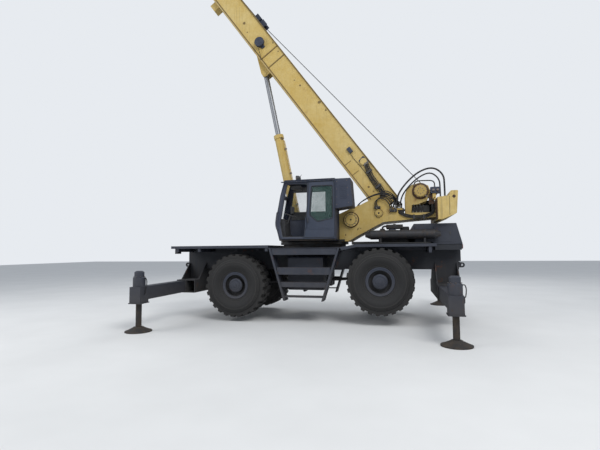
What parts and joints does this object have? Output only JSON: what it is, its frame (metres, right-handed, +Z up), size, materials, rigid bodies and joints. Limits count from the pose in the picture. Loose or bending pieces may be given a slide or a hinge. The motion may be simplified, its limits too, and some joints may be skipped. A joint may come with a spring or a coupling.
{
  "type": "rough terrain mobile crane",
  "caption": "Yellow and dark grey rough terrain crane standing on extended outriggers, with a telescopic boom raised over the front, an open side cab and steps between the tyres",
  "frame": {"origin": "on the ground under the slewing axis", "axes": "+X forward, +Y to the left (cab side), +Z up"},
  "size_m": [8.8143, 7.02, 12.2903],
  "materials": {
    "yellow_paint": "faded yellow paint, dusty",
    "dark_paint": "dark blue-grey paint, worn",
    "frame_paint": "dark grey chassis paint, dusty",
    "engine_iron": "oily cast iron",
    "exhaust_steel": "heat-browned steel",
    "tyre_rubber": "dusty black rubber",
    "rim_paint": "grey wheel paint, dusty",
    "rod_chrome": "hard chromed rod",
    "drum_steel": "greased steel with wound rope",
    "hose_rubber": "black hydraulic hose",
    "cab_glass": "tinted glass",
    "seat_fabric": "dark seat cloth",
    "cab_plastic": "dark cab trim",
    "lamp_plastic": "lamp housing",
    "hook_steel": "yellow hook block paint"
  },
  "bodies": {
    "carrier": {"carrier_frame": "frame_paint", "tow_eyes": "frame_paint", "propshaft": "frame_paint", "front_deck": "dark_paint", "rear_deck": "dark_paint", "side_steps": "dark_paint", "engine_hood": "dark_paint", "engine_block": "engine_iron", "radiator_grille": "frame_paint", "muffler": "exhaust_steel", "air_cleaner": "dark_paint", "fuel_tank": "dark_paint", "hydraulic_tank": "dark_paint", "lamps": "lamp_plastic", "slew_ring": "frame_paint", "axle_front": "frame_paint", "axle_rear": "frame_paint"},
    "superstructure": {"turntable": "yellow_paint", "counterweight": "yellow_paint", "winch_frame": "yellow_paint", "hose_outer": "hose_rubber", "hose_inner": "hose_rubber", "cab_shell": "dark_paint", "cab_glass": "cab_glass", "cab_rear_box": "dark_paint", "cab_seat": "seat_fabric", "cab_console": "cab_plastic"},
    "drum": {"winch_drum": "drum_steel"},
    "cab_door": {"cab_door": "dark_paint", "door_glass": "cab_glass"},
    "boom": {"boom_base": "yellow_paint", "boom_fittings": "yellow_paint"},
    "boom_2": {"boom_section_2": "yellow_paint"},
    "boom_3": {"boom_section_3": "yellow_paint"},
    "boom_4": {"boom_section_4": "yellow_paint", "head_sheaves": "drum_steel"},
    "lift_rod": {"lift_rod": "rod_chrome"},
    "lift_barrel": {"lift_barrel": "yellow_paint"},
    "hook_block": {"hook_block": "hook_steel"},
    "knuckle_front_left": {"knuckle_front_left": "frame_paint"},
    "wheel_front_left": {"tyre_front_left": "tyre_rubber", "rim_front_left": "rim_paint"},
    "beam_front_left": {"beam_front_left": "dark_paint"},
    "jack_front_left": {"jack_front_left": "dark_paint"},
    "knuckle_front_right": {"knuckle_front_right": "frame_paint"},
    "wheel_front_right": {"tyre_front_right": "tyre_rubber", "rim_front_right": "rim_paint"},
    "beam_front_right": {"beam_front_right": "dark_paint"},
    "jack_front_right": {"jack_front_right": "dark_paint"},
    "knuckle_rear_left": {"knuckle_rear_left": "frame_paint"},
    "wheel_rear_left": {"tyre_rear_left": "tyre_rubber", "rim_rear_left": "rim_paint"},
    "beam_rear_left": {"beam_rear_left": "dark_paint"},
    "jack_rear_left": {"jack_rear_left": "dark_paint"},
    "knuckle_rear_right": {"knuckle_rear_right": "frame_paint"},
    "wheel_rear_right": {"tyre_rear_right": "tyre_rubber", "rim_rear_right": "rim_paint"},
    "beam_rear_right": {"beam_rear_right": "dark_paint"},
    "jack_rear_right": {"jack_rear_right": "dark_paint"}
  },
  "joints": [
    {"name": "slew", "type": "hinge", "parent": "carrier", "child": "superstructure", "pos_m": [0, 0, 2.22], "axis": [0, 0, 1], "continuous": true},
    {"name": "drum_turn", "type": "hinge", "parent": "superstructure", "child": "drum", "pos_m": [-3.12, 0, 3.6], "axis": [0, 1, 0], "continuous": true},
    {"name": "door_slide", "type": "slide", "parent": "superstructure", "child": "cab_door", "axis": [1, 0, 0], "range_m": [0, 0.74]},
    {"name": "boom_luff", "type": "hinge", "parent": "superstructure", "child": "boom", "pos_m": [-1.97, 0, 3], "axis": [0, -1, 0], "range_deg": [-54.2, 21.8]},
    {"name": "tele_2", "type": "slide", "parent": "boom", "child": "boom_2", "axis": [0.585, 0, 0.8111], "range_m": [0, 7.2]},
    {"name": "tele_3", "type": "slide", "parent": "boom_2", "child": "boom_3", "axis": [0.585, 0, 0.8111], "range_m": [0, 7.2]},
    {"name": "tele_4", "type": "slide", "parent": "boom_3", "child": "boom_4", "axis": [0.585, 0, 0.8111], "range_m": [0, 7.2]},
    {"name": "rod_swing", "type": "hinge", "parent": "boom", "child": "lift_rod", "pos_m": [1.548, 0, 7.6385], "axis": [0, -1, 0], "range_deg": [-16.6, 6.8]},
    {"name": "barrel_slide", "type": "slide", "parent": "lift_rod", "child": "lift_barrel", "axis": [-0.1994, 0, -0.9799], "range_m": [-1.97, 0.8]},
    {"name": "hook_swing", "type": "hinge", "parent": "boom_4", "child": "hook_block", "pos_m": [4.3845, 0, 11.7082], "axis": [0, -1, 0], "range_deg": [-21.8, 54.2]},
    {"name": "steer_front_left", "type": "hinge", "parent": "carrier", "child": "knuckle_front_left", "pos_m": [2, 0.83, 1], "axis": [0, 0, 1], "range_deg": [-22, 22]},
    {"name": "spin_front_left", "type": "hinge", "parent": "knuckle_front_left", "child": "wheel_front_left", "pos_m": [2, 1.18, 1], "axis": [0, 1, 0], "continuous": true},
    {"name": "beam_slide_front_left", "type": "slide", "parent": "carrier", "child": "beam_front_left", "axis": [0, 1, 0], "range_m": [-1.7, 0]},
    {"name": "jack_slide_front_left", "type": "slide", "parent": "beam_front_left", "child": "jack_front_left", "axis": [0, 0, 1], "range_m": [0, 0.44]},
    {"name": "steer_front_right", "type": "hinge", "parent": "carrier", "child": "knuckle_front_right", "pos_m": [2, -0.83, 1], "axis": [0, 0, 1], "range_deg": [-22, 22]},
    {"name": "spin_front_right", "type": "hinge", "parent": "knuckle_front_right", "child": "wheel_front_right", "pos_m": [2, -1.18, 1], "axis": [0, 1, 0], "continuous": true},
    {"name": "beam_slide_front_right", "type": "slide", "parent": "carrier", "child": "beam_front_right", "axis": [0, -1, 0], "range_m": [-1.7, 0]},
    {"name": "jack_slide_front_right", "type": "slide", "parent": "beam_front_right", "child": "jack_front_right", "axis": [0, 0, 1], "range_m": [0, 0.44]},
    {"name": "steer_rear_left", "type": "hinge", "parent": "carrier", "child": "knuckle_rear_left", "pos_m": [-2, 0.83, 1.14], "axis": [0, 0, 1], "range_deg": [-22, 22]},
    {"name": "spin_rear_left", "type": "hinge", "parent": "knuckle_rear_left", "child": "wheel_rear_left", "pos_m": [-2, 1.18, 1.14], "axis": [0, 1, 0], "continuous": true},
    {"name": "beam_slide_rear_left", "type": "slide", "parent": "carrier", "child": "beam_rear_left", "axis": [0, 1, 0], "range_m": [-1.7, 0]},
    {"name": "jack_slide_rear_left", "type": "slide", "parent": "beam_rear_left", "child": "jack_rear_left", "axis": [0, 0, 1], "range_m": [0, 0.44]},
    {"name": "steer_rear_right", "type": "hinge", "parent": "carrier", "child": "knuckle_rear_right", "pos_m": [-2, -0.83, 1.14], "axis": [0, 0, 1], "range_deg": [-22, 22]},
    {"name": "spin_rear_right", "type": "hinge", "parent": "knuckle_rear_right", "child": "wheel_rear_right", "pos_m": [-2, -1.18, 1.14], "axis": [0, 1, 0], "continuous": true},
    {"name": "beam_slide_rear_right", "type": "slide", "parent": "carrier", "child": "beam_rear_right", "axis": [0, -1, 0], "range_m": [-1.7, 0]},
    {"name": "jack_slide_rear_right", "type": "slide", "parent": "beam_rear_right", "child": "jack_rear_right", "axis": [0, 0, 1], "range_m": [0, 0.44]}
  ],
  "couplings": [
    {"joint": "tele_3", "follows": "tele_2", "ratio": 1},
    {"joint": "tele_4", "follows": "tele_2", "ratio": 1},
    {"joint": "rod_swing", "follows": "boom_luff", "ratio": 0.30182},
    {"joint": "barrel_slide", "follows": "boom_luff", "m_per_rad": 2.065},
    {"joint": "hook_swing", "follows": "boom_luff", "ratio": -1},
    {"joint": "steer_front_right", "follows": "steer_front_left", "ratio": 1},
    {"joint": "steer_rear_right", "follows": "steer_rear_left", "ratio": 1}
  ]
}
